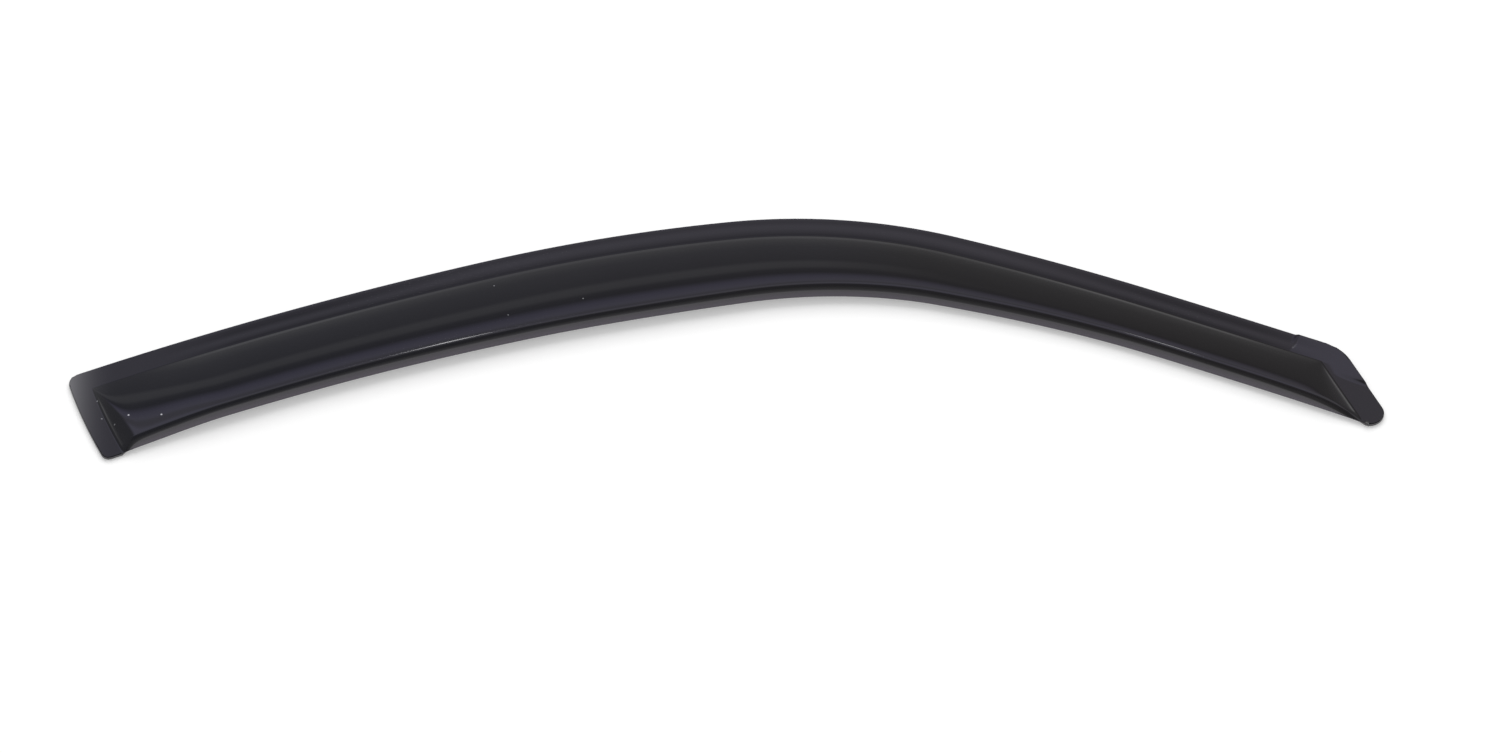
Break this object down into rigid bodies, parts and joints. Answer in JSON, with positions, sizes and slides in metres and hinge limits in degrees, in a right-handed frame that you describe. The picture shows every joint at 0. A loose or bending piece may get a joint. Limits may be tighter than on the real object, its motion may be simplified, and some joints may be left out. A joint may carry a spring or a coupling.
{
  "type": "window rain deflector",
  "caption": "Curved smoke acrylic deflector for a car side window: flat taped flange, convex face, rolled lower lip and slanted front end.",
  "frame": {"origin": "on the sticky face of the long tape, under the crown of the top edge and at the middle of the tape's width", "axes": "+X forward along the car, parallel to the top edge at its crown; +Y up across the flange, away from the window opening; +Z out of the flange, away from the car"},
  "size_m": [0.9853, 0.2193, 0.0198],
  "materials": {
    "smoke_acrylic": "polished dark smoke, nearly black",
    "foam_tape": "matt acrylic foam"
  },
  "bodies": {
    "root": {"visor_shell": "smoke_acrylic", "top_tape": "foam_tape", "rear_tape": "foam_tape", "front_tape": "foam_tape"}
  },
  "joints": []
}
